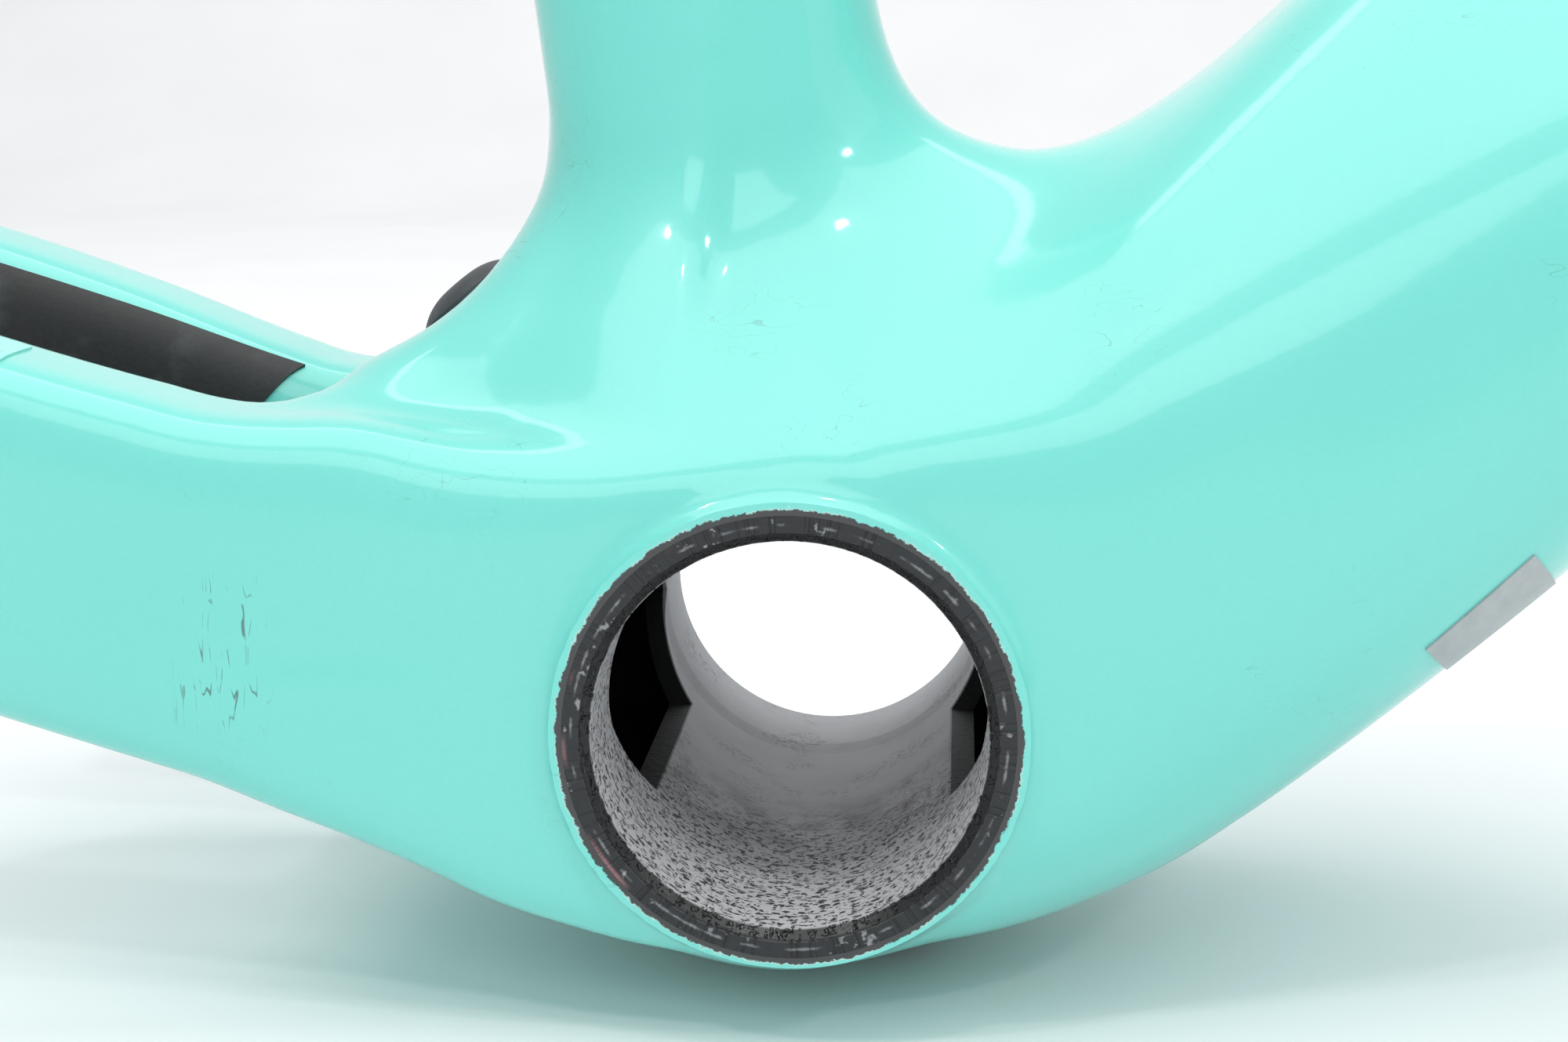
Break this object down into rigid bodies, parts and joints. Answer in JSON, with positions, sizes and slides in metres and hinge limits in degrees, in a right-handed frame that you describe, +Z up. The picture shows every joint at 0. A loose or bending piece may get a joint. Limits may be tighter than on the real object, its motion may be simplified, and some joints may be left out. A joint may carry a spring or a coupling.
{
  "type": "bottom bracket shell",
  "caption": "Hollow bicycle frame junction with a press-fit bearing bore, seat tube and down tube stubs and paired chainstay stubs around a tyre gap.",
  "frame": {"origin": "centre of the bearing bore, halfway between the shell's two end faces", "axes": "+X to the front of the bicycle, +Y along the bore to the left side, +Z up as pictured"},
  "size_m": [0.2526, 0.0864, 0.1367],
  "materials": {
    "paint": "glossy clearcoat over pale turquoise paint on moulded carbon fibre",
    "raw_composite": "unpainted carbon fibre laminate",
    "bore_composite": "grey dusted carbon fibre wall, machined dark end faces",
    "guard": "satin black film",
    "film": "clear glossy polyurethane film over the paint",
    "foil": "blank grey foil",
    "grommet": "dark grey rubber",
    "liner": "translucent white liner tube",
    "guide": "black moulded plastic",
    "screw": "stainless steel",
    "insert": "plain aluminium"
  },
  "bodies": {
    "root": {"bb_shell_lug": "paint", "chainstay_yoke": "paint", "seat_tube_socket": "paint", "down_tube_socket": "paint", "seat_tube": "paint", "down_tube": "paint", "chainstay_right": "paint", "chainstay_left": "paint", "seat_tube_spigot": "raw_composite", "down_tube_spigot": "raw_composite", "chainstay_plug_right": "raw_composite", "chainstay_plug_left": "raw_composite", "bb_sleeve": "bore_composite", "tyre_guard_right": "guard", "tyre_guard_left": "guard", "chainstay_film": "film", "underside_label": "foil", "cable_exit_grommet": "grommet", "shift_cable_liner": "liner", "cable_guide": "guide", "cable_guide_screw": "screw", "cable_guide_insert": "insert"}
  },
  "joints": []
}
